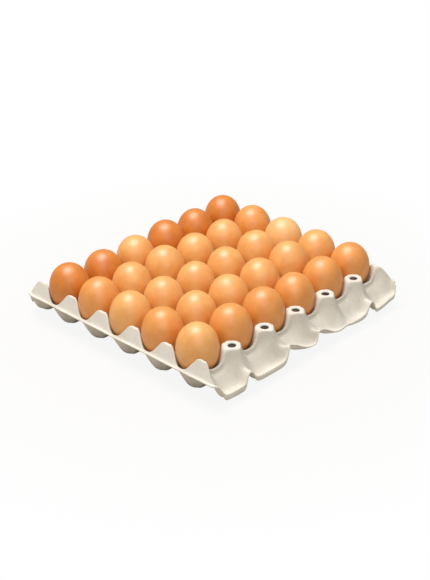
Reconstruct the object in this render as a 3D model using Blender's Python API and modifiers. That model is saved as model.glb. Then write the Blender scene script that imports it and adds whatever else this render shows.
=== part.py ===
"""An egg tray of moulded paper pulp with its thirty eggs.

The tray is one thin shell: six cups along X, five along Y, a hollow post with a small hole at
every corner between four cups, half posts and a narrow rim at the two X ends, and half a row of
shallow outer cups with a scalloped rim at the two Y ends. Every egg is a piece of its own and
stands in its cup, held between the faces of the posts around it.
Units are metres, +Z is up and the origin is on the ground under the middle of the tray.
"""
import math

import bmesh
import bpy
from mathutils import Vector

MM = 0.001

# --- driving dimensions of the tray ---
PITCH = 48 * MM             # from cup to cup, both ways
CELLS_X = 6
CELLS_Y = 5
HALF = PITCH / 2
RIM = 3 * MM                # the flat edge that runs all round
WALL = 2 * MM               # thickness of the pulp
POST_TOP = 44 * MM
SADDLE = 28.5 * MM          # the low ridge between two posts, and the straight rims
CUP_WAIST = 15 * MM         # where the wall of a cup turns from steep to sloping
LIP = 14 * MM               # lowest part of the scalloped rim
KNOB = 25 * MM              # where a ridge between two outer cups meets the rim

CUP_FLOOR = 1.69 * MM       # upper side of a cup's floor; its underside is on the ground
CUP_FLOOR_RADIUS = 8.5 * MM
CUP_WAIST_RADIUS = 18.2 * MM
CUP_SIDES = 8

POST_FACE = 9 * MM          # from the middle of a post to each of its four flat faces
POST_FACE_HALF_WIDTH = 4 * MM
POST_CORNER = 10.7 * MM     # from the middle of a post to its rounded corners
POST_HOLE_RADIUS = 3.2 * MM
SADDLE_HALF_WIDTH = 7 * MM

HALF_POST_SETBACK = 7 * MM  # the outward face of a half post leans in by this much
HALF_POST_FOOT = 19 * MM    # half the width of that face where it meets the rim

# outer cups: ASIDE is from the middle of the cup, OUT is from the last full row of posts
OUTER_DEPTH = HALF
SHELF_HEIGHT = 22 * MM      # the shelf just outside a saddle
SHELF_ASIDE = 5 * MM
SHELF_OUT = 9.2 * MM
FACE_FOOT_HEIGHT = 21 * MM  # the foot of a post's outer face
FACE_FOOT_ASIDE = 14.8 * MM
FACE_FOOT_OUT = 18 * MM
HIP_HEIGHT = 27 * MM        # where a ridge levels out towards its knob
HIP_OUT = 17 * MM
LIP_ASIDE = 11 * MM         # half the width of the low part of the scalloped rim
KNOB_HALF_WIDTH = 3.5 * MM
KNOB_FOOT = 8 * MM          # from the middle of a knob to the foot of its slope
CORNER_TURN = 5 * MM        # where the rim starts to fall, inwards from a corner of the tray
CORNER_DROP = 2 * MM
RIM_DROP = 1.2 * MM         # the scalloped rim hangs this much lower at its outer edge
WELD_DISTANCE = 0.01 * MM
FLAT_ANGLE = math.radians(0.5)

# the front ridges have sagged sideways in the mould, each by its own amount
FRONT_RIDGE_DRIFT = (-1.5 * MM, 9 * MM, 8 * MM, 5 * MM, 0)
FRONT_KNOB = (KNOB, 28 * MM, KNOB, 17 * MM, KNOB)

# --- driving dimensions of the eggs ---
EGG_LENGTH = 58.4 * MM
EGG_BREADTH = 44.2 * MM
EGG_BASE = 9.4 * MM         # height of an average egg's lower end
EGG_BLUNTNESS = 0.12        # 0 is an ellipsoid, more is a blunter upper end
EGG_RINGS = 5
EGG_SEGMENTS = 12
HALF_MM = 0.5 * MM
EGG_DRIFT_TOWARDS = Vector((1, -1, 0)).normalized()

# One row of six eggs a line, front row first: what each egg adds to the average, in half millimetres.
EGG_LIFTS = (
    (2, 3, 2, 0, 1, 2),
    (0, -1, 0, 2, 5, 2),
    (1, 0, 1, -1, 3, 2),
    (-2, -1, 1, 2, 4, 4),
    (1, -3, -1, 4, 2, 5),
)
EGG_EXTRA_BREADTHS = (
    (-1, 0, 1, 0, 1, 0),
    (-1, -1, -1, 0, 2, 0),
    (0, -2, -3, -1, 1, 1),
    (1, 0, 2, -1, -1, 1),
    (0, 0, 0, 0, -1, -1),
)
EGG_DRIFTS = (
    (1, 0, 1, 1, 0, -1),
    (1, 0, 1, 1, 0, -1),
    (1, 0, -1, -1, 0, -1),
    (0, -1, 1, -1, -1, -1),
    (1, 1, 1, 1, 0, -1),
)

# shell colours, from the darkest eggs to the palest, and which egg has which
SHELL_TONES = {
    "russet": (0.50, 0.150, 0.040),
    "amber": (0.62, 0.230, 0.075),
    "tan": (0.70, 0.320, 0.125),
    "cream": (0.78, 0.430, 0.190),
}
EGG_TONES = (
    ("tan", "amber", "amber", "amber", "amber", "amber"),
    ("amber", "tan", "tan", "tan", "tan", "tan"),
    ("tan", "tan", "tan", "tan", "tan", "cream"),
    ("amber", "tan", "tan", "tan", "tan", "amber"),
    ("russet", "russet", "tan", "russet", "russet", "russet"),
)


def clear_scene():
    for item in list(bpy.data.objects):
        bpy.data.objects.remove(item, do_unlink=True)


def material(name, colour, roughness):
    made = bpy.data.materials.new(name)
    made.use_nodes = True
    shader = made.node_tree.nodes["Principled BSDF"]
    shader.inputs["Base Color"].default_value = (*colour, 1.0)
    shader.inputs["Roughness"].default_value = roughness
    shader.inputs["Metallic"].default_value = 0.0
    return made


def cell_centre(column, row):
    x = (column - (CELLS_X - 1) / 2) * PITCH
    y = (row - (CELLS_Y - 1) / 2) * PITCH
    return x, y


# --- the tray ---
def ring_point(radius, degrees, height):
    turn = math.radians(degrees)
    return (radius * math.cos(turn), radius * math.sin(turn), height)


def post_outline():
    """A quarter of a post's top edge, in a cell's own quadrant with the post at (HALF, HALF)."""
    face = (HALF - POST_FACE / math.sqrt(2), HALF - POST_FACE / math.sqrt(2))
    step = POST_FACE_HALF_WIDTH / math.sqrt(2)
    return [
        (HALF, HALF - POST_CORNER, POST_TOP),
        (face[0] + step, face[1] - step, POST_TOP),
        (face[0] - step, face[1] + step, POST_TOP),
        (HALF - POST_CORNER, HALF, POST_TOP),
    ]


def hole_arc():
    return [
        (HALF - POST_HOLE_RADIUS * math.sin(turn), HALF - POST_HOLE_RADIUS * math.cos(turn), POST_TOP)
        for turn in (0, math.pi / 4, math.pi / 2)
    ]


def half_post_face_edge():
    """Where the outward face of a half post cuts off its top, beside the post at (HALF, HALF)."""
    along = POST_FACE * math.sqrt(2) - HALF_POST_SETBACK
    return (HALF - HALF_POST_SETBACK, HALF - along, POST_TOP)


def post_top_faces():
    outline = post_outline()
    arc = hole_arc()
    return [
        [outline[0], outline[1], arc[1], arc[0]],
        [outline[1], outline[2], arc[1]],
        [outline[2], outline[3], arc[2], arc[1]],
    ]


def cup_faces(at_end):
    """One quadrant of a cup; at_end is True where the quadrant's +X side is an end of the tray."""
    outline = post_outline()
    step = 360 / CUP_SIDES
    low = ring_point(CUP_WAIST_RADIUS, step / 2, CUP_WAIST)
    high = ring_point(CUP_WAIST_RADIUS, step * 1.5, CUP_WAIST)
    saddle_x = (HALF, SADDLE_HALF_WIDTH, SADDLE)
    saddle_y = (SADDLE_HALF_WIDTH, HALF, SADDLE)
    waist_x = (low[0], 0, CUP_WAIST)
    waist_y = (0, high[1], CUP_WAIST)
    floor_low = ring_point(CUP_FLOOR_RADIUS, step / 2, CUP_FLOOR)
    floor_high = ring_point(CUP_FLOOR_RADIUS, step * 1.5, CUP_FLOOR)
    floor_x = (floor_low[0], 0, CUP_FLOOR)
    floor_y = (0, floor_high[1], CUP_FLOOR)
    faces = [
        [(0, 0, CUP_FLOOR), floor_x, floor_low, floor_high, floor_y],
        [floor_x, waist_x, low, floor_low],
        [floor_low, low, high, floor_high],
        [floor_high, high, waist_y, floor_y],
        [waist_y, high, saddle_y, (0, HALF, SADDLE)],
        [outline[2], outline[3], high],
        [outline[3], saddle_y, high],
    ]
    if at_end:
        edge = half_post_face_edge()
        foot = (HALF, HALF - HALF_POST_FOOT, SADDLE)
        middle = (HALF, HALF, SADDLE)
        top = (edge[0], HALF, POST_TOP)
        faces += [
            [waist_x, (HALF, 0, SADDLE), foot, low],
            [foot, edge, low],
            [edge, outline[2], high, low],
            [edge, top, outline[3], outline[2]],
            [foot, middle, top, edge],
        ]
    else:
        faces += [
            [waist_x, (HALF, 0, SADDLE), saddle_x, low],
            [saddle_x, outline[0], low],
            [outline[0], outline[1], low],
            [outline[1], outline[2], high, low],
        ]
        faces += post_top_faces()
    return faces


def outer_cup_faces(at_end, drift, knob):
    """One half of an outer cup. Y runs outwards from the middle of the cup row it continues."""
    outline = [(x, 2 * HALF - y, z) for x, y, z in post_outline()]
    out = HALF + OUTER_DEPTH
    shelf = (SHELF_ASIDE, HALF + SHELF_OUT, SHELF_HEIGHT)
    face_foot = (FACE_FOOT_ASIDE, HALF + FACE_FOOT_OUT, FACE_FOOT_HEIGHT)
    rim = [
        (0, out, LIP),
        (LIP_ASIDE + max(drift, 0), out, LIP),
    ]
    faces = [
        [(0, HALF, SADDLE), (SADDLE_HALF_WIDTH, HALF, SADDLE), shelf, (0, shelf[1], SHELF_HEIGHT)],
        [(SADDLE_HALF_WIDTH, HALF, SADDLE), outline[3], shelf],
        [outline[3], outline[2], shelf],
        [(0, shelf[1], SHELF_HEIGHT), shelf, rim[1], rim[0]],
    ]
    if at_end:
        edge = half_post_face_edge()
        edge = (edge[0], 2 * HALF - edge[1], POST_TOP)
        foot = (HALF, HALF + HALF_POST_FOOT, SADDLE)
        top = (edge[0], HALF, POST_TOP)
        corner = (HALF, out, SADDLE)
        turn = (HALF - CORNER_TURN, out, SADDLE - CORNER_DROP)
        rim += [turn, corner]
        faces += [
            [outline[2], edge, face_foot, shelf],
            [edge, foot, face_foot],
            [foot, corner, turn, face_foot],
            [shelf, face_foot, rim[1]],
            [face_foot, turn, rim[1]],
            [outline[3], top, edge, outline[2]],
            [top, (HALF, HALF, SADDLE), foot, edge],
        ]
        return faces, rim
    hip = (HALF + drift / 2, HALF + HIP_OUT, HIP_HEIGHT)
    rim += [
        (HALF - KNOB_FOOT + drift, out, (LIP + knob) / 2),
        (HALF - KNOB_HALF_WIDTH + drift, out, knob),
        (HALF + drift, out, knob),
    ]
    faces += [
        [outline[2], outline[1], face_foot, shelf],
        [outline[1], outline[0], hip, face_foot],
        [shelf, face_foot, rim[1]],
        [face_foot, rim[2], rim[1]],
        [face_foot, hip, rim[3], rim[2]],
        [hip, rim[4], rim[3]],
    ]
    faces += [[(x, 2 * HALF - y, z) for x, y, z in face] for face in post_top_faces()]
    return faces, rim


def add_faces(mesh, faces, column, row, side_x, side_y):
    """Add faces given in a cell's first quadrant, mirrored to the asked side of the cell."""
    centre = cell_centre(column, row)
    for face in faces:
        points = [(centre[0] + side_x * x, centre[1] + side_y * y, z) for x, y, z in face]
        if side_x * side_y < 0:
            points.reverse()
        corners = [mesh.verts.new(point) for point in points]
        mesh.faces.new(corners)


def scalloped_rim_faces(rim):
    faces = []
    for inner, following in zip(rim, rim[1:]):
        faces.append([
            following,
            inner,
            (inner[0], inner[1] + RIM, inner[2] - RIM_DROP),
            (following[0], following[1] + RIM, following[2] - RIM_DROP),
        ])
    return faces


def tray_surface(mesh):
    for column in range(CELLS_X):
        for row in range(CELLS_Y):
            for side_x in (-1, 1):
                at_end = column == (0 if side_x < 0 else CELLS_X - 1)
                for side_y in (-1, 1):
                    add_faces(mesh, cup_faces(at_end), column, row, side_x, side_y)
        for side_y in (-1, 1):
            row = 0 if side_y < 0 else CELLS_Y - 1
            for side_x in (-1, 1):
                at_end = column == (0 if side_x < 0 else CELLS_X - 1)
                post = column - 1 if side_x < 0 else column
                drift = 0
                knob = KNOB
                if side_y < 0 and not at_end:
                    drift = side_x * FRONT_RIDGE_DRIFT[post]
                    knob = FRONT_KNOB[post]
                faces, rim = outer_cup_faces(at_end, drift, knob)
                add_faces(mesh, faces + scalloped_rim_faces(rim), column, row, side_x, side_y)


def end_rims(mesh):
    """The straight rims: a flat strip outside the half posts, out to the corners."""
    reach = CELLS_Y * HALF + OUTER_DEPTH
    edge_x = CELLS_X * HALF
    stops = {reach, -reach}
    for row in range(CELLS_Y + 1):
        post_y = row * PITCH - CELLS_Y * HALF
        stops.update((post_y - HALF_POST_FOOT, post_y, post_y + HALF_POST_FOOT))
    for row in range(CELLS_Y):
        stops.add(cell_centre(0, row)[1])
    stops = sorted(stops)
    for side in (-1, 1):
        for start, end in zip(stops, stops[1:]):
            points = [
                (side * edge_x, start, SADDLE),
                (side * (edge_x + RIM), start, SADDLE),
                (side * (edge_x + RIM), end, SADDLE),
                (side * edge_x, end, SADDLE),
            ]
            if side < 0:
                points.reverse()
            mesh.faces.new([mesh.verts.new(point) for point in points])
        for end in (-1, 1):
            points = [
                (side * edge_x, end * reach, SADDLE),
                (side * (edge_x + RIM), end * reach, SADDLE),
                (side * (edge_x + RIM), end * (reach + RIM), SADDLE - RIM_DROP),
                (side * edge_x, end * (reach + RIM), SADDLE - RIM_DROP),
            ]
            if side * end < 0:
                points.reverse()
            mesh.faces.new([mesh.verts.new(point) for point in points])


def make_tray(collection):
    mesh = bmesh.new()
    tray_surface(mesh)
    end_rims(mesh)
    bmesh.ops.remove_doubles(mesh, verts=mesh.verts, dist=WELD_DISTANCE)
    bmesh.ops.dissolve_limit(
        mesh, angle_limit=FLAT_ANGLE, verts=mesh.verts, edges=mesh.edges, use_dissolve_boundaries=False
    )
    bmesh.ops.recalc_face_normals(mesh, faces=mesh.faces)
    highest = max(mesh.faces, key=lambda face: face.calc_center_median().z)
    if highest.normal.z < 0:
        bmesh.ops.reverse_faces(mesh, faces=mesh.faces)
    data = bpy.data.meshes.new("tray")
    mesh.to_mesh(data)
    mesh.free()
    tray = bpy.data.objects.new("tray", data)
    collection.objects.link(tray)
    wall = tray.modifiers.new("wall", "SOLIDIFY")
    wall.thickness = WALL
    wall.offset = -1
    wall.use_even_offset = False
    data.materials.append(material("moulded pulp", (0.66, 0.62, 0.54), 0.95))
    return tray


# --- the eggs ---
def egg_radius(share, breadth):
    """Radius of an egg at a share of its height, 0 at the lower end and 1 at the upper."""
    along = 2 * share - 1
    return breadth / 2 * math.sqrt(max(0, 1 - along * along) * (1 + EGG_BLUNTNESS * along))


def make_egg(collection, column, row, shells):
    breadth = EGG_BREADTH + EGG_EXTRA_BREADTHS[row][column] * HALF_MM
    length = EGG_LENGTH * breadth / EGG_BREADTH
    name = f"egg_{column + 1}_{row + 1}"
    mesh = bmesh.new()
    previous = None
    for ring in range(EGG_RINGS + 2):
        share = 0.5 + 0.5 * math.cos(math.pi * ring / (EGG_RINGS + 1))
        vertex = mesh.verts.new((egg_radius(share, breadth), 0, share * length))
        if previous:
            mesh.edges.new((previous, vertex))
        previous = vertex
    data = bpy.data.meshes.new(name)
    mesh.to_mesh(data)
    mesh.free()
    egg = bpy.data.objects.new(name, data)
    collection.objects.link(egg)
    turn = egg.modifiers.new("turn", "SCREW")
    turn.steps = EGG_SEGMENTS
    turn.render_steps = EGG_SEGMENTS
    turn.use_merge_vertices = True
    turn.merge_threshold = WELD_DISTANCE
    turn.use_smooth_shade = True
    x, y = cell_centre(column, row)
    drift = EGG_DRIFT_TOWARDS * EGG_DRIFTS[row][column] * HALF_MM
    egg.location = (x + drift.x, y + drift.y, EGG_BASE + EGG_LIFTS[row][column] * HALF_MM)
    data.materials.append(shells[EGG_TONES[row][column]])
    return egg


def main():
    clear_scene()
    collection = bpy.data.collections.new("tray of eggs")
    bpy.context.scene.collection.children.link(collection)
    make_tray(collection)
    shells = {tone: material(f"{tone} eggshell", colour, 0.45) for tone, colour in SHELL_TONES.items()}
    for row in range(CELLS_Y):
        for column in range(CELLS_X):
            make_egg(collection, column, row, shells)


main()
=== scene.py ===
# %% [markdown]
# # A tray of brown eggs
#
# The object is the square grey tray in which eggs are carried and sold: a thin sheet of paper
# pulp, sucked onto a wire mould and dried, with thirty brown hen's eggs standing in its cups.
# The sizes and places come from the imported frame. The tray and the eggs are modelled again here,
# finer and softer than the frame's solids, and each new piece rides on the frame's one body.

# %% Load the frame
import math
import random

import bmesh
import bpy
from mathutils import Matrix, Vector, noise


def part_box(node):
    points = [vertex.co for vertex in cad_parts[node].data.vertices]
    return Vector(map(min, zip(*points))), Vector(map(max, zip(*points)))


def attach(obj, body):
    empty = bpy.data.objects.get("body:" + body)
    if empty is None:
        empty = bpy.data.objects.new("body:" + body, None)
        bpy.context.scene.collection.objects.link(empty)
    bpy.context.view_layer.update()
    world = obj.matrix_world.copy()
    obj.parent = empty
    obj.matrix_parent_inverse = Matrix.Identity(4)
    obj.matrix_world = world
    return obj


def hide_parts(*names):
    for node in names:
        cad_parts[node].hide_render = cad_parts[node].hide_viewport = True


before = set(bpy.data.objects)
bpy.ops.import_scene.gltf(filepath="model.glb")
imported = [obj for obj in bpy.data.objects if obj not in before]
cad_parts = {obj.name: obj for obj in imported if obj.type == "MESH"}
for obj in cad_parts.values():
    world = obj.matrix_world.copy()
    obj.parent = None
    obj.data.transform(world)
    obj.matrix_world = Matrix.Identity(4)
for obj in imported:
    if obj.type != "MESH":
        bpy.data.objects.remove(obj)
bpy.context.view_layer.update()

# %% [markdown]
# ## Sizes
#
# The tray is worked out in millimetres, because that is how a maker of trays thinks, and is
# scaled to metres once, when its mesh is finished. The pitch of the cups could be typed in, but it
# is worked out from the width of the frame's tray instead, so the new sheet always fits the frame.

# %% Sizes in millimetres
MM = 0.001
CELLS_X = 6
CELLS_Y = 5
RIM = 3.0       # width of the rims outside the cells
WALL = 1.7      # thickness of the dried pulp
tray_low, tray_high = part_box("tray")
PITCH = ((tray_high[0] - tray_low[0]) / MM - 2 * RIM) / CELLS_X
HALF = PITCH / 2
END_X = CELLS_X * HALF
LAST_POST_Y = CELLS_Y * HALF
print("pitch", round(PITCH, 2), "from the middle to a straight rim", round(END_X, 1))


def cell_centre(column, row):
    return (column - (CELLS_X - 1) / 2) * PITCH, (row - (CELLS_Y - 1) / 2) * PITCH


# %% [markdown]
# ## Growing a sheet ring by ring
#
# A moulded sheet has no thickness of its own while it is being shaped. It could be pushed out of
# a flat grid, but a grid's squares stretch badly on walls this steep. It is grown instead from a
# row of vertices: the row is extruded, the new row is moved to where the sheet goes next, and so
# on. Blender's extrude doesn't promise to give the new vertices in the old order, so this helper
# looks each one up along the edge that joins it to its parent.

# %% Extrude a row of vertices and keep its order
def grow(mesh, row):
    members = set(row)
    edges = {edge for vertex in row for edge in vertex.link_edges}
    edges = [edge for edge in edges if edge.other_vert(edge.verts[0]) in members]
    edges = [edge for edge in edges if edge.verts[0] in members and len(edge.link_faces) < 2]
    made = bmesh.ops.extrude_edge_only(mesh, edges=edges)["geom"]
    fresh = {item for item in made if isinstance(item, bmesh.types.BMVert)}
    following = []
    for vertex in row:
        nearby = [edge.other_vert(vertex) for edge in vertex.link_edges]
        following.append(next(other for other in nearby if other in fresh))
    return following


# %% [markdown]
# ## One cup
#
# A moulded cup is a round bowl at its floor that opens into a square, with a low saddle in the
# middle of each side and a post at each corner. A lathe can't make it, because its wall isn't
# the same all round. So a ring of vertices starts as a small circle on the floor and is grown
# upwards, while each vertex follows one of two profiles, the way up to a saddle or the way up to
# a post, or a mix of both. The 32 directions are closest together near the posts, where the wall
# turns most. The profiles have a step only where the wall bends.

# %% The two profiles of a cup
# each step is (share of the way out, height), from the floor to the crest
TO_SADDLE = (
    (0.21, 1.75), (0.34, 1.95), (0.43, 4.6), (0.575, 10.5),
    (0.81, 21.0), (0.937, 27.5), (0.968, 28.4), (1.0, 28.6),
)
TO_POST = (
    (0.192, 1.75), (0.313, 1.95), (0.400, 4.6), (0.525, 10.2),
    (0.745, 26.0), (0.908, 41.0), (0.944, 43.4), (1.0, 43.9),
)
TOP_LEVEL = len(TO_POST) - 1
# directions from the middle of a side to the corner in degrees, how far the crest is from the
# cup's middle in each, and how much of the post's profile each takes
TURNS = (0.0, 23.0, 29.0, 37.0, 45.0)
REACH = tuple(HALF / math.cos(math.radians(turn)) for turn in TURNS[:3]) + (26.2, 26.0)
POST_SHARE = (0.0, 0.04, 0.95, 1.0, 1.0)
# at a straight end the crest is the edge of a half post's outward face instead
END_REACH = (23.5, 24.2, 23.54, 23.87, 24.68)
END_POST_SHARE = (0.0, 0.02, 0.48, 0.70, 1.0)
END_TURN_BACK = 7.5
FACES_END = 0.7     # cosine past which a direction counts as facing the end


def ring_turns():
    """The directions round a cup in degrees, each with its place in TURNS."""
    found = []
    for octant in range(8):
        for step in range(4):
            if octant % 2 == 0:
                found.append((octant * 45 + TURNS[step], step))
            else:
                found.append(((octant + 1) * 45 - TURNS[4 - step], 4 - step))
    return found


def cup_point(turn, step, level, end_side=0):
    """A vertex of a cup, from the cup's middle. end_side is -1 or 1 in a cup at an end, else 0."""
    at_end = end_side * math.cos(math.radians(turn)) > FACES_END
    if at_end and step == 1:
        turn -= math.copysign(END_TURN_BACK, math.sin(math.radians(2 * turn)))
    way = Vector((math.cos(math.radians(turn)), math.sin(math.radians(turn)), 0))
    reach = END_REACH[step] if at_end else REACH[step]
    share = END_POST_SHARE[step] if at_end else POST_SHARE[step]
    out = TO_SADDLE[level][0] * (1 - share) + TO_POST[level][0] * share
    height = TO_SADDLE[level][1] * (1 - share) + TO_POST[level][1] * share
    return way * out * reach + Vector((0, 0, height))


# %% Grow the cups
def add_cup(mesh, column, row):
    end_side = {0: -1, CELLS_X - 1: 1}.get(column, 0)
    middle = Vector((*cell_centre(column, row), 0))
    turns = ring_turns()
    ring = bmesh.ops.create_circle(mesh, cap_ends=True, segments=len(turns), radius=1.0)["verts"]
    for level in range(TOP_LEVEL + 1):
        if level:
            ring = grow(mesh, ring)
        for vertex, (turn, step) in zip(ring, turns):
            vertex.co = middle + cup_point(turn, step, level, end_side)


sheet = bmesh.new()
for column in range(CELLS_X):
    for row in range(CELLS_Y):
        add_cup(sheet, column, row)
print("cups", CELLS_X * CELLS_Y, "faces so far", len(sheet.faces))

# %% [markdown]
# ## The scalloped edges
#
# Beyond the last posts the mould goes on for half a cup, so each long edge is a row of shallow
# outer cups that end in a scalloped rim. The rim is low in front of a cup and rises to a small
# knob in front of a post. These half cups could be cut out of whole ones, but their walls run out
# flatter than a cup's. So each half of an outer cup is a grid whose first row lies on the crest
# of the cup behind it and whose last row lies on the rim; the rows between follow a few profiles.

# %% Profiles of the outer cups
# height at each share of the way out from the crest to the rim
OUT = (0.0, 0.045, 0.10, 0.20, 0.34, 0.50, 0.68, 0.89, 1.0)
DOWN = {
    "saddle": (28.6, 28.5, 25.6, 23.2, 22.7, 18.6, 14.4, 12.6, 14.0),
    "face": (43.9, 43.5, 40.2, 33.4, 28.2, 23.4, 17.8, 14.0, 14.6),
    "knob": (43.9, 43.3, 39.8, 33.0, 28.2, 25.4, 25.0, 25.0, 24.8),
    "ridge": (43.2, 42.4, 39.2, 33.4, 28.6, 25.6, 25.1, 25.1, 25.0),
    "rim": (28.6,) * len(OUT),
}
# a saddle's crest hangs a little over a notch: how far each step of its profile moves outwards
NOTCH = (0.0, 1.2, -0.9, -2.3, -2.2, -1.0, 0.0, 0.0, 0.0)
# the middle and half the width of the stretch of the way out where a cup is deepened
FRONT_BOWL = (0.70, 0.34)
BACK_BOWL = (0.42, 0.36)
BACK_DEEPER = 17.0
THINNEST_FLOOR = TO_SADDLE[0][1] + 0.6
CREST_FADE = 6      # how soon a crest that isn't at its profile's height comes back to it
RIM_PULL = 2        # how late the profile bends to the height of the rim

# columns of a half cup beside a full post: direction in the cup behind, its place in TURNS,
# nominal place on the rim, and the share of each profile
BY_POST = (
    (29.0, 2, 24.0, {"ridge": 1.0}),
    (37.0, 3, 20.5, {"knob": 1.0}),
    (45.0, 4, 17.0, {"face": 1.0}),
    (53.0, 3, 11.5, {"face": 0.9, "saddle": 0.1}),
    (61.0, 2, 8.0, {"face": 0.6, "saddle": 0.4}),
    (67.0, 1, 5.0, {"saddle": 1.0}),
    (90.0, 0, 0.0, {"saddle": 1.0}),
)
BY_END = (
    (23.0, 1, 24.0, {"rim": 1.0}),
    (29.0, 2, 20.5, {"rim": 0.7, "face": 0.3}),
    (37.0, 3, 17.0, {"rim": 0.2, "face": 0.8}),
    (45.0, 4, 13.5, {"face": 1.0}),
    (53.0, 3, 9.0, {"face": 0.9, "saddle": 0.1}),
    (61.0, 2, 6.5, {"face": 0.6, "saddle": 0.4}),
    (67.0, 1, 4.0, {"saddle": 1.0}),
    (90.0, 0, 0.0, {"saddle": 1.0}),
)

# %% [markdown]
# The rim of a new tray is the same in front of every cup. This tray's front edge has sagged
# between its second and fifth outer cups, so there the rim is low and wavy and its skirt hardly
# turns down. No formula gives such an accident, so the front rim is written cell by cell.

# %% Rims of the outer cups
# a rim is (place along the cell, height) at each of these nominal places, then how far its skirt
# turns down at its left and right ends and how much deeper than the profiles its cup is
KNOTS = (-24.0, -20.5, -17.0, -9.0, 0.0, 9.0, 17.0, 20.5, 24.0)
EVEN_RIM = (
    (-24, 25), (-20.5, 24.8), (-17, 15), (-9, 14.2), (0, 14), (9, 14.2), (17, 15), (20.5, 24.8), (24, 25),
)
EVEN_SKIRT = (4, 4)
FRONT_RIMS = (
    (((-24, 28.6), (-19.5, 27), (-14, 16.5), (-7, 14.6), (2, 14.2), (10, 14.4), (16.5, 15), (19, 24.6),
      (22.5, 25)), (6, 6), 6.0),
    (((-25.5, 25), (-22, 24.6), (-17.5, 16), (-8, 14.6), (3, 14.2), (16, 14.4), (28, 15), (31, 22),
      (33, 28.4)), (5, 5), 6.0),
    (((-15, 28.4), (-12, 28), (-9.5, 27.2), (-2, 23.8), (6, 18.4), (15, 13.6), (29, 11.2), (31, 18),
      (32, 25)), (0.5, 0.5), 2.5),
    (((-16, 25), (-13, 25), (-9, 24.8), (-2, 21.6), (5, 16.8), (12, 13), (20, 12), (25, 12.4),
      (29, 13.2)), (0.5, 1.5), 2.5),
    (((-19, 13.2), (-16, 13.6), (-12, 13.8), (-5, 13.8), (2, 13.6), (9, 13.8), (16, 15.6), (20, 24.2),
      (24, 24.6)), (1.5, 6), 6.0),
    (((-24, 24.6), (-20.5, 23.6), (-17, 12.8), (-9, 12.6), (0, 13.8), (9, 16.4), (17, 17), (22, 18.6),
      (24, 26)), (4, 4), 4.5),
)
# the lip beyond a rim takes three steps: a raised bead, its slope and the skirt
LIP_WIDTHS = (0.8, 0.1, 0.05)
LIP_WIDTHS_MORE = (0.7, 1.1, 0.0)      # what a full skirt adds to each width
BEAD_RISE = 0.4
BEAD_SLOPE = 1.0
FULL_SKIRT = 3
KNOB_HEIGHT = 25
SKIRT_GROWTH = 9    # how far below the knobs a rim lies where its skirt has its whole depth
LEAST_SKIRT = 0.3   # share of its depth that a skirt keeps at the knobs


# %% Grow the outer cups
def read_between(value, places, readings):
    """The reading at value, straight between the readings given at the places."""
    for (low, high), (first, second) in zip(zip(places, places[1:]), zip(readings, readings[1:])):
        if value <= high:
            share = (value - low) / (high - low)
            return first + (second - first) * max(0.0, share)
    return readings[-1]


def outer_cup_point(column, level, side, end_side, rim, deeper, bowl):
    """A vertex of an outer cup: x from the cell's middle, y out from the last posts."""
    turn, step, nominal, shares = column
    crest = cup_point(turn, step, TOP_LEVEL, end_side * side)
    start = Vector((side * crest.x, HALF - min(crest.y, HALF), crest.z))
    end_x = read_between(side * nominal, KNOTS, [place for place, _ in rim])
    end_z = read_between(side * nominal, KNOTS, [height for _, height in rim])

    def mixed(at):
        return sum(share * DOWN[name][at] for name, share in shares.items())

    out = OUT[level]
    height = mixed(level)
    height += (start.z - mixed(0)) * (1 - out) ** CREST_FADE
    height += (end_z - mixed(-1)) * out ** RIM_PULL
    middle, half_width = bowl
    hollow = max(0.0, 1 - ((out - middle) / half_width) ** 2)
    height -= deeper * hollow * (shares.get("saddle", 0) + shares.get("face", 0))
    height = max(height, THINNEST_FLOOR)
    notch = NOTCH[level] * shares.get("saddle", 0)
    return Vector((start.x + (end_x - start.x) * out, start.y + (HALF - start.y) * out + notch, height))


def add_lip(mesh, row, middle_x, out_side, rim, skirt):
    """Grow the bead and the skirt out from a row of vertices on a rim."""
    for step in range(3):
        row = grow(mesh, row)
        for vertex in row:
            drop = read_between(vertex.co.x - middle_x, (rim[0][0], rim[-1][0]), skirt)
            full = min(1.0, drop / FULL_SKIRT)
            drop *= min(1.0, max(LEAST_SKIRT, (KNOB_HEIGHT - vertex.co.z) / SKIRT_GROWTH))
            step_out = LIP_WIDTHS[step] + LIP_WIDTHS_MORE[step] * full
            step_down = (-BEAD_RISE, BEAD_SLOPE, drop)[step]
            vertex.co += Vector((0, out_side * step_out, -step_down))


def add_outer_cup(mesh, column, out_side, bowl, rim, skirt, deeper):
    x, y = cell_centre(column, 0 if out_side < 0 else CELLS_Y - 1)
    edge_y = y + out_side * HALF
    for side in (-1, 1):
        end_side = side if column == (0 if side < 0 else CELLS_X - 1) else 0
        columns = BY_END if end_side else BY_POST
        across = len(columns) - 1
        along = len(OUT) - 1
        made = bmesh.ops.create_grid(mesh, x_segments=across, y_segments=along, size=1.0)
        last_row = {}
        for vertex in made["verts"]:
            at = round((vertex.co.x + 1) / 2 * across)
            level = round((vertex.co.y + 1) / 2 * along)
            point = outer_cup_point(columns[at], level, side, end_side, rim, deeper, bowl)
            vertex.co = Vector((x + point.x, edge_y + out_side * point.y, point.z))
            if level == along:
                last_row[at] = vertex
        add_lip(mesh, [last_row[at] for at in sorted(last_row)], x, out_side, rim, skirt)


MERGED = 0.05       # vertices closer than this are one
for column in range(CELLS_X):
    add_outer_cup(sheet, column, -1, FRONT_BOWL, *FRONT_RIMS[column])
    add_outer_cup(sheet, column, 1, BACK_BOWL, EVEN_RIM, EVEN_SKIRT, BACK_DEEPER)
bmesh.ops.remove_doubles(sheet, verts=sheet.verts, dist=MERGED)
print("with the outer cups", len(sheet.faces), "faces")

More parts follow.
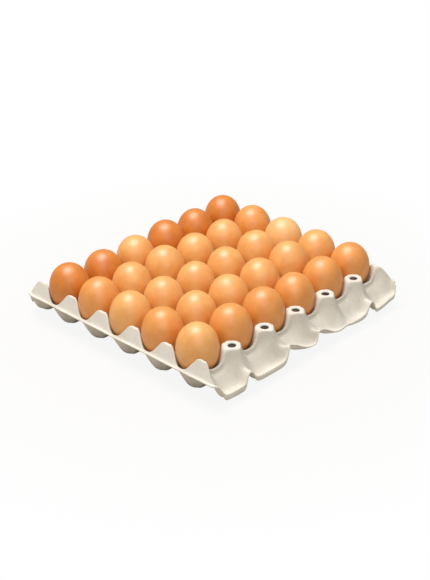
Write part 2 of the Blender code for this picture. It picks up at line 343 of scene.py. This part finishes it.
# %% [markdown]
# ## The straight ends
#
# At the two other ends the mould stops in the middle of a row of posts, so those posts are cut
# in half by a flat face that leans in, and a narrow flat rim runs past their feet. Whole posts
# could be sliced with a plane, but the open edge of the sheet already follows the tops of these
# faces. It is grown outwards once for the flat tops of the half posts, then down the faces, then
# out over the rim.

# %% Half posts and straight rims
HALF_POST_SETBACK = 6.8     # from the line of the end back to the top of a half post's face
HALF_POST_TOP = 43.7
SHOULDER = 42.5             # an open edge higher than this belongs to a half post's top
NEAR_TOP = 0.6
RIM_HEIGHT = 28.5
FACE_SHARES = (0.07, 0.35, 0.7, 1.0)
RIM_STEPS = ((1.3, 0.15), (1.5, -0.3))      # out and up
NEAR_END = 12
IN_CORNER = LAST_POST_Y + HALF - 1


def open_edge_row(mesh, side):
    """The sheet's open edge at one straight end, from the front corner to the back one."""
    edges = [edge for edge in mesh.edges if edge.is_boundary]
    members = {vertex for edge in edges for vertex in edge.verts if side * vertex.co.x > END_X - NEAR_END}
    front, rear = (
        max(members, key=lambda vertex: side * vertex.co.x + end * vertex.co.y) for end in (-1, 1)
    )
    row = [front]
    members.discard(front)
    while row[-1] is not rear:
        ahead = [
            edge.other_vert(row[-1]) for edge in row[-1].link_edges
            if edge.is_boundary and edge.other_vert(row[-1]) in members
        ]
        row.append(max(ahead, key=lambda vertex: side * vertex.co.x))
        members.discard(row[-1])
    return row


def add_straight_end(mesh, side):
    row = open_edge_row(mesh, side)
    print("open edge at", side, "has", len(row), "vertices")
    top_edge = END_X - HALF_POST_SETBACK
    row = grow(mesh, row)
    for vertex in row:
        if side * vertex.co.x < top_edge + NEAR_TOP and vertex.co.z > SHOULDER:
            vertex.co.x = side * top_edge
            vertex.co.z = HALF_POST_TOP
    start = [vertex.co.copy() for vertex in row]
    for share in FACE_SHARES:
        row = grow(mesh, row)
        for vertex, place in zip(row, start):
            foot = place.z if abs(place.y) > IN_CORNER else RIM_HEIGHT
            vertex.co.x = place.x + (side * END_X - place.x) * share
            vertex.co.z = place.z + (foot - place.z) * share
    for step_out, step_up in RIM_STEPS:
        row = grow(mesh, row)
        for vertex in row:
            vertex.co += Vector((side * step_out, 0, step_up))


for side in (-1, 1):
    add_straight_end(sheet, side)
bmesh.ops.remove_doubles(sheet, verts=sheet.verts, dist=MERGED)
print("with the ends", len(sheet.faces), "faces")

# %% [markdown]
# ## Round corners
#
# The sheet's four corners are square so far, and a real tray's are round, each a little
# differently once the wet pulp has slumped. A bevel would need a new outline, and the rims and
# skirts already end here. So every vertex near a corner is drawn in towards the corner's middle,
# which turns the squares round it into circles and carries the rim along.

# %% Bend the corners round
CORNER_RADII = ((-1, -1, 9), (1, -1, 13), (1, 1, 13), (-1, 1, 18))


def round_corner(mesh, side_x, side_y, radius):
    middle = Vector((side_x * (END_X + RIM - radius), side_y * (LAST_POST_Y + HALF + RIM - radius), 0))
    for vertex in mesh.verts:
        way = vertex.co - middle
        across = side_x * way.x
        along = side_y * way.y
        if across > 0 and along > 0:
            drawn_in = max(across, along) / math.hypot(across, along)
            vertex.co.x = middle.x + way.x * drawn_in
            vertex.co.y = middle.y + way.y * drawn_in


for side_x, side_y, radius in CORNER_RADII:
    round_corner(sheet, side_x, side_y, radius)
print("corner radii", [radius for _, _, radius in CORNER_RADII])

# %% [markdown]
# ## The tops of the posts
#
# Each full post is hollow and ends in a flat top with a small round hole, which lets water and
# air through. The post is still open at its top. A filled face with a hole cut by a boolean would
# leave long thin triangles, so the edge is grown inwards, each time closer to a circle, and then
# a little way down into the hole.

# %% Post tops with their holes
# radius, height and roundness of each ring of a post's top
POST_TOP_RINGS = ((6.9, 44.0, 0.4), (5.0, 44.0, 1.0), (4.25, 43.1, 1.0), (4.2, 42.0, 1.0))
POST_SIZE = 9.2     # from the middle of a post to its open edge
POST_REACH = 12


def close_post(mesh, x, y):
    middle = Vector((x, y, 0))
    edges = [
        edge for edge in mesh.edges
        if edge.is_boundary and all((vertex.co.xy - middle.xy).length < POST_REACH for vertex in edge.verts)
    ]
    members = {vertex for edge in edges for vertex in edge.verts}
    row = sorted(members, key=lambda vertex: math.atan2(vertex.co.y - y, vertex.co.x - x))
    for radius, height, roundness in POST_TOP_RINGS:
        row = grow(mesh, row)
        for vertex in row:
            way = vertex.co - middle
            way.z = 0
            size = radius * roundness + way.length * (radius / POST_SIZE) * (1 - roundness)
            vertex.co = middle + way.normalized() * size + Vector((0, 0, height))


for column in range(CELLS_X - 1):
    for row in range(CELLS_Y + 1):
        close_post(sheet, (column - (CELLS_X - 2) / 2) * PITCH, (row - CELLS_Y / 2) * PITCH)
print("posts closed,", len(sheet.faces), "faces")

# %% [markdown]
# ## From sheet to tray
#
# Wet pulp never dries quite true, so the sheet gets a slow unevenness of a fraction of a
# millimetre, except under the cups, where the tray stands. Each face could be given a partner by
# hand to make a wall, but a Solidify modifier does it for the whole sheet at once, and a
# Subdivision Surface then rounds every edge as soft as pulp is.

# %% Finish the sheet
FLAT_BELOW = 3                          # height under which the tray stays true
SLOW_WAVE = (22.0, 3.0, 0.35)           # size, seed and height of each unevenness
QUICK_WAVE = (6.0, 9.0, 0.16)
SIDEWAYS = (14.0, 5.0, 7.0, 0.3)        # size, a seed for x, a seed for y, and how far


def unevenness(place, size, seed):
    shifted = Vector((seed, seed * 2.0, seed * 3.0))
    return noise.noise(place / size + shifted)


def shake(mesh):
    for vertex in mesh.verts:
        place = vertex.co
        slow = unevenness(place, *SLOW_WAVE[:2]) * SLOW_WAVE[2]
        quick = unevenness(place, *QUICK_WAVE[:2]) * QUICK_WAVE[2]
        size, seed_x, seed_y, far = SIDEWAYS
        sideways = Vector((unevenness(place, size, seed_x), unevenness(place, size, seed_y), 0)) * far
        if place.z > FLAT_BELOW:
            vertex.co += sideways + Vector((0, 0, slow + quick))


def finish_tray(mesh):
    shake(mesh)
    bmesh.ops.recalc_face_normals(mesh, faces=mesh.faces)
    upward = sum(face.normal.z * face.calc_area() for face in mesh.faces)
    if upward < 0:
        bmesh.ops.reverse_faces(mesh, faces=mesh.faces)
    bmesh.ops.scale(mesh, vec=(MM, MM, MM), verts=mesh.verts)
    data = bpy.data.meshes.new("pulp_tray")
    mesh.to_mesh(data)
    mesh.free()
    data.shade_smooth()
    tray = bpy.data.objects.new("pulp_tray", data)
    bpy.context.scene.collection.objects.link(tray)
    wall = tray.modifiers.new("wall", "SOLIDIFY")
    wall.thickness = WALL * MM
    wall.offset = -1
    soft = tray.modifiers.new("soft", "SUBSURF")
    soft.levels = 1
    soft.render_levels = 1
    return tray


tray = finish_tray(sheet)
print("tray cage", len(tray.data.polygons), "faces")

# %% [markdown]
# ## The eggs
#
# A hen's egg is a ball drawn out along one axis with one end blunter than the other. A turned
# outline would do as well, but a sphere already has closed poles and even faces, so a sphere is
# reshaped by the egg's formula. Each egg takes its place, length and breadth from its own solid
# in the frame. It stands blunt end up, as eggs are packed, leans a degree or two, and is never
# quite the same as its neighbour.

# %% Model one egg
BLUNTNESS = 0.12
BLUNTNESS_SPREAD = 0.03
LEAN_DEGREES = (0.2, 1.8)
LEAN_PIVOT = 0.3        # share of an egg's length that sits below where the cup holds it
EGG_SEGMENTS = 48
EGG_RINGS = 32
AT_POLE = 1e-6


def make_egg(node, chance):
    low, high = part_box(node)
    breadth = high[0] - low[0]
    length = high[2] - low[2]
    foot = Vector(((low[0] + high[0]) / 2, (low[1] + high[1]) / 2, low[2]))
    blunt = BLUNTNESS + chance.uniform(-BLUNTNESS_SPREAD, BLUNTNESS_SPREAD)
    mesh = bmesh.new()
    bmesh.ops.create_uvsphere(mesh, u_segments=EGG_SEGMENTS, v_segments=EGG_RINGS, radius=1.0)
    for vertex in mesh.verts:
        along = max(-1.0, min(1.0, vertex.co.z))
        ring = math.sqrt(max(0.0, 1 - along * along))
        radius = breadth / 2 * ring * math.sqrt(1 + blunt * along)
        way = Vector((vertex.co.x, vertex.co.y, 0))
        if way.length > AT_POLE:
            way.normalize()
        vertex.co = way * radius + Vector((0, 0, (along + 1) / 2 * length))
    pivot = Vector((0, 0, length * LEAN_PIVOT))
    lean = Matrix.Rotation(math.radians(chance.uniform(*LEAN_DEGREES)), 3, "X")
    turn = Matrix.Rotation(chance.uniform(0, math.tau), 3, "Z")
    bmesh.ops.rotate(mesh, verts=mesh.verts, cent=pivot, matrix=turn @ lean @ turn.inverted())
    bmesh.ops.translate(mesh, verts=mesh.verts, vec=foot)
    data = bpy.data.meshes.new("shell_" + node)
    mesh.to_mesh(data)
    mesh.free()
    data.shade_smooth()
    egg = bpy.data.objects.new("shell_" + node, data)
    bpy.context.scene.collection.objects.link(egg)
    return egg


# %% [markdown]
# ## Materials
#
# Colours are written as the hex values that a colour picker shows and turned to linear light in
# one place. One small function adds a node with its settings, values, links and colour stops.
# Every pattern reads Object coordinates, which are metres here, so its scale comes from a real
# size in millimetres.

# %% Colour and node helpers
def linear(hex_colour):
    channels = [int(hex_colour[start:start + 2], 16) / 255 for start in (1, 3, 5)]
    return tuple(c / 12.92 if c <= 0.04045 else ((c + 0.055) / 1.055) ** 2.4 for c in channels) + (1.0,)


def add_node(tree, kind, settings=None, values=None, links=None, stops=()):
    node = tree.nodes.new(kind)
    for name, value in (settings or {}).items():
        setattr(node, name, value)
    for name, value in (values or {}).items():
        node.inputs[name].default_value = value
    for name, source in (links or {}).items():
        tree.links.new(source, node.inputs[name])
    for at, (position, hex_colour) in enumerate(stops):
        node.color_ramp.elements[at].position = position
        node.color_ramp.elements[at].color = linear(hex_colour)
    return node


def start_material(name):
    made = bpy.data.materials.new(name)
    made.use_nodes = True
    tree = made.node_tree
    tree.nodes.clear()
    shader = add_node(tree, "ShaderNodeBsdfPrincipled")
    add_node(tree, "ShaderNodeOutputMaterial", links={"Surface": shader.outputs["BSDF"]})
    place = add_node(tree, "ShaderNodeTexCoord").outputs["Object"]
    return made, tree, shader, place


def per_metre(size_in_mm):
    """The scale that gives a texture features of about this size."""
    return 1 / (size_in_mm * MM)


DARK_STOP = 0.3
LIGHT_STOP = 0.7

# %% [markdown]
# The tray is paper pulp, felted from old newsprint on a wire mould and dried in the open. It has
# no size or coating, so it is quite matt, and its tangled fibres give the eye a soft, slightly
# fuzzy grey with a warm tinge. Colour alone would look like painted plaster. So one fine noise
# the size of a clump of fibres moves both the colour and a low bump, and a wide one stands for
# patches that dried darker or lighter.

# %% Moulded paper pulp
FIBRE_CLUMP = 1.6
DRYING_PATCH = 18
FUZZ_HEIGHT = 0.6


def moulded_pulp():
    made, tree, shader, place = start_material("moulded paper pulp")
    felt = add_node(
        tree, "ShaderNodeTexNoise",
        values={"Scale": per_metre(FIBRE_CLUMP), "Detail": 4.0, "Roughness": 0.65}, links={"Vector": place})
    cloud = add_node(
        tree, "ShaderNodeTexNoise",
        values={"Scale": per_metre(DRYING_PATCH), "Detail": 3.0}, links={"Vector": place})
    fibres = add_node(
        tree, "ShaderNodeValToRGB", links={"Fac": felt.outputs["Fac"]},
        stops=((DARK_STOP, "#CFC7B9"), (LIGHT_STOP, "#E6E0D4")))
    patches = add_node(
        tree, "ShaderNodeValToRGB", links={"Fac": cloud.outputs["Fac"]},
        stops=((DARK_STOP, "#D2CBBD"), (LIGHT_STOP, "#E2DCCF")))
    tone = add_node(
        tree, "ShaderNodeMix", {"data_type": "RGBA"}, {"Factor": 0.5},
        {"A": fibres.outputs["Color"], "B": patches.outputs["Color"]})
    tree.links.new(tone.outputs["Result"], shader.inputs["Base Color"])
    shader.inputs["Roughness"].default_value = 0.92
    shader.inputs["Specular IOR Level"].default_value = 0.25
    bump = add_node(
        tree, "ShaderNodeBump", values={"Strength": 0.5, "Distance": FUZZ_HEIGHT * MM},
        links={"Height": felt.outputs["Fac"]})
    tree.links.new(bump.outputs["Normal"], shader.inputs["Normal"])
    return made


# %% [markdown]
# An eggshell is chalk that the hen paints with a brown pigment and seals with a thin dry film,
# the bloom. The film gives the eye a broad satin shine that fades softly into the colour, with
# no sharp reflection. The pigment isn't even, so a wide noise moves the colour a little between
# two shades of one tone. Hens differ more than that, so there are four tones. The pores are pits
# of about 0.2 mm, roughly a millimetre apart. The pits are too fine to show, so they are drawn as
# coarse as their spacing, as a faint bump that softens the shine.

# %% Brown eggshell
SHELLS = {
    "russet": ("#DC8329", "#CC711B"),
    "amber": ("#EC9D4D", "#DE8C3C"),
    "tan": ("#F1AF63", "#E69D50"),
    "cream": ("#F6C07D", "#EDAF69"),
}
PIGMENT_PATCH = 14
PORE_SPACING = 1.1
PORE_DEPTH = 0.3


def brown_eggshell(tone):
    light, dark = SHELLS[tone]
    made, tree, shader, place = start_material(f"{tone} eggshell")
    mottle = add_node(
        tree, "ShaderNodeTexNoise",
        values={"Scale": per_metre(PIGMENT_PATCH), "Detail": 3.0}, links={"Vector": place})
    pigment = add_node(
        tree, "ShaderNodeValToRGB", links={"Fac": mottle.outputs["Fac"]},
        stops=((DARK_STOP, dark), (LIGHT_STOP, light)))
    tree.links.new(pigment.outputs["Color"], shader.inputs["Base Color"])
    shader.inputs["Roughness"].default_value = 0.44
    shader.inputs["Specular IOR Level"].default_value = 0.95
    pores = add_node(
        tree, "ShaderNodeTexNoise",
        values={"Scale": per_metre(PORE_SPACING), "Detail": 2.0}, links={"Vector": place})
    bump = add_node(
        tree, "ShaderNodeBump", values={"Strength": 0.12, "Distance": PORE_DEPTH * MM},
        links={"Height": pores.outputs["Fac"]})
    tree.links.new(bump.outputs["Normal"], shader.inputs["Normal"])
    return made


# %% [markdown]
# ## Putting the tray together
#
# Nothing here moves, so every piece rides on the frame's root and stands in for one node of the
# frame. The eggs' tones are a small table, front row first, because their order is what makes
# this tray this one. The table could be drawn by lot, but then the dark back row would be lost.

# %% Dress the tray and fill it with eggs
EGG_TONES = (
    ("tan", "amber", "amber", "amber", "amber", "amber"),
    ("amber", "tan", "tan", "tan", "tan", "tan"),
    ("tan", "tan", "tan", "tan", "tan", "cream"),
    ("amber", "tan", "tan", "tan", "tan", "amber"),
    ("russet", "russet", "tan", "russet", "russet", "russet"),
)
tray.data.materials.append(moulded_pulp())
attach(tray, "root")
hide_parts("tray")

shells = {tone: brown_eggshell(tone) for tone in SHELLS}
chance = random.Random(30)
for row, tones in enumerate(EGG_TONES):
    for column, tone in enumerate(tones):
        node = f"egg_{column + 1}_{row + 1}"
        egg = make_egg(node, chance)
        egg.data.materials.append(shells[tone])
        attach(egg, "root")
        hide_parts(node)
print("eggs", len(EGG_TONES) * len(EGG_TONES[0]), "in tones", sorted(shells))

# %% [markdown]
# ## Floor
#
# The tray stands on plain white card, with nothing else round it. Card lit by lamps alone comes
# out grey. So what the camera sees of it is mostly a glow of plain white, all of it away from the
# tray, while close to the tray a share of real card is left to take the soft shadow. Light that
# bounces off the floor meets only the real card, so the tray and the eggs are lit as on a table.

# %% White card
CARD = "#C7BEB1"
SHADOW_NEAR = 0.18      # metres from the middle where the glow starts to grow
SHADOW_FAR = 0.42
GLOW_NEAR = 0.90
FLOOR_HALF_WIDTH = 6.0


def white_card():
    made = bpy.data.materials.new("white card")
    made.use_nodes = True
    tree = made.node_tree
    tree.nodes.clear()
    matt = add_node(tree, "ShaderNodeBsdfDiffuse", values={"Color": linear(CARD)})
    glow = add_node(tree, "ShaderNodeEmission", values={"Color": linear("#FFFFFF"), "Strength": 1.0})
    place = add_node(tree, "ShaderNodeTexCoord").outputs["Object"]
    distance = add_node(tree, "ShaderNodeVectorMath", {"operation": "LENGTH"}, links={0: place})
    whiteness = add_node(
        tree, "ShaderNodeMapRange",
        values={"From Min": SHADOW_NEAR, "From Max": SHADOW_FAR, "To Min": GLOW_NEAR, "To Max": 1.0},
        links={"Value": distance.outputs["Value"]})
    rays = add_node(tree, "ShaderNodeLightPath")
    share = add_node(
        tree, "ShaderNodeMath", {"operation": "MULTIPLY"},
        links={0: rays.outputs["Is Camera Ray"], 1: whiteness.outputs["Result"]})
    mix = add_node(
        tree, "ShaderNodeMixShader",
        links={"Fac": share.outputs[0], 1: matt.outputs[0], 2: glow.outputs[0]})
    add_node(tree, "ShaderNodeOutputMaterial", links={"Surface": mix.outputs[0]})
    return made


floor_mesh = bmesh.new()
bmesh.ops.create_grid(floor_mesh, x_segments=1, y_segments=1, size=FLOOR_HALF_WIDTH)
floor_data = bpy.data.meshes.new("floor")
floor_mesh.to_mesh(floor_data)
floor_mesh.free()
floor = bpy.data.objects.new("floor", floor_data)
bpy.context.scene.collection.objects.link(floor)
floor_data.materials.append(white_card())
print("floor", 2 * FLOOR_HALF_WIDTH, "m wide")

# %% [markdown]
# ## Light
#
# Eggs show every lamp as a spot, so the size of the lamps sets how soft that spot is. A sun would
# give a hard one. A large softbox hangs above the back of the tray and gives the tops their glow,
# a weaker one fills the front and left faces, and an even white sky keeps the hollows open.

# %% Softboxes and sky
AIM = (0, 0, 0.03)
SKY_STRENGTH = 0.34


def add_softbox(name, place, size, power):
    data = bpy.data.lights.new(name, "AREA")
    data.shape = "DISK"
    data.size = size
    data.energy = power
    lamp = bpy.data.objects.new(name, data)
    bpy.context.scene.collection.objects.link(lamp)
    lamp.location = place
    lamp.rotation_euler = (Vector(AIM) - Vector(place)).to_track_quat("-Z", "Y").to_euler()
    print(name, size, "m wide,", power, "W")


add_softbox("overhead softbox", (-0.12, 0.28, 1.60), 1.1, 28)
add_softbox("front softbox", (-0.85, -0.95, 1.25), 1.3, 6.5)
world = bpy.data.worlds.new("studio")
bpy.context.scene.world = world
world.use_nodes = True
world_tree = world.node_tree
world_tree.nodes.clear()
sky = add_node(
    world_tree, "ShaderNodeBackground", values={"Color": linear("#FFFFFF"), "Strength": SKY_STRENGTH})
add_node(world_tree, "ShaderNodeOutputWorld", links={"Surface": sky.outputs[0]})

# %% [markdown]
# ## Camera
#
# The view is from above the front left corner, which points towards the viewer. The camera could
# be aimed with a constraint. Its three axes are worked out instead, from an azimuth, an elevation
# and a slight roll, as they would be read off a tripod's head.

# %% Three-quarter view
VIEW_AZIMUTH = math.radians(-45.79)
VIEW_ELEVATION = math.radians(27.82)
VIEW_ROLL = math.radians(-0.93)
VIEW_DISTANCE = 1.2323
VIEW_TARGET = Vector((-0.0248, -0.0291, 0.0440))

back = Vector((
    math.sin(VIEW_AZIMUTH) * math.cos(VIEW_ELEVATION),
    -math.cos(VIEW_AZIMUTH) * math.cos(VIEW_ELEVATION),
    math.sin(VIEW_ELEVATION),
))
level_right = Vector((math.cos(VIEW_AZIMUTH), math.sin(VIEW_AZIMUTH), 0))
right = Matrix.Rotation(VIEW_ROLL, 3, back) @ level_right
up = back.cross(right)
camera_data = bpy.data.cameras.new("camera")
camera_data.sensor_width = 36
camera_data.lens = 72.25
camera = bpy.data.objects.new("camera", camera_data)
bpy.context.scene.collection.objects.link(camera)
camera.matrix_world = Matrix.Translation(VIEW_TARGET + back * VIEW_DISTANCE) @ Matrix(
    (right, up, back)).transposed().to_4x4()
bpy.context.scene.camera = camera
bpy.context.scene.view_settings.view_transform = "Standard"
print("camera", round(VIEW_DISTANCE, 2), "m from its target")
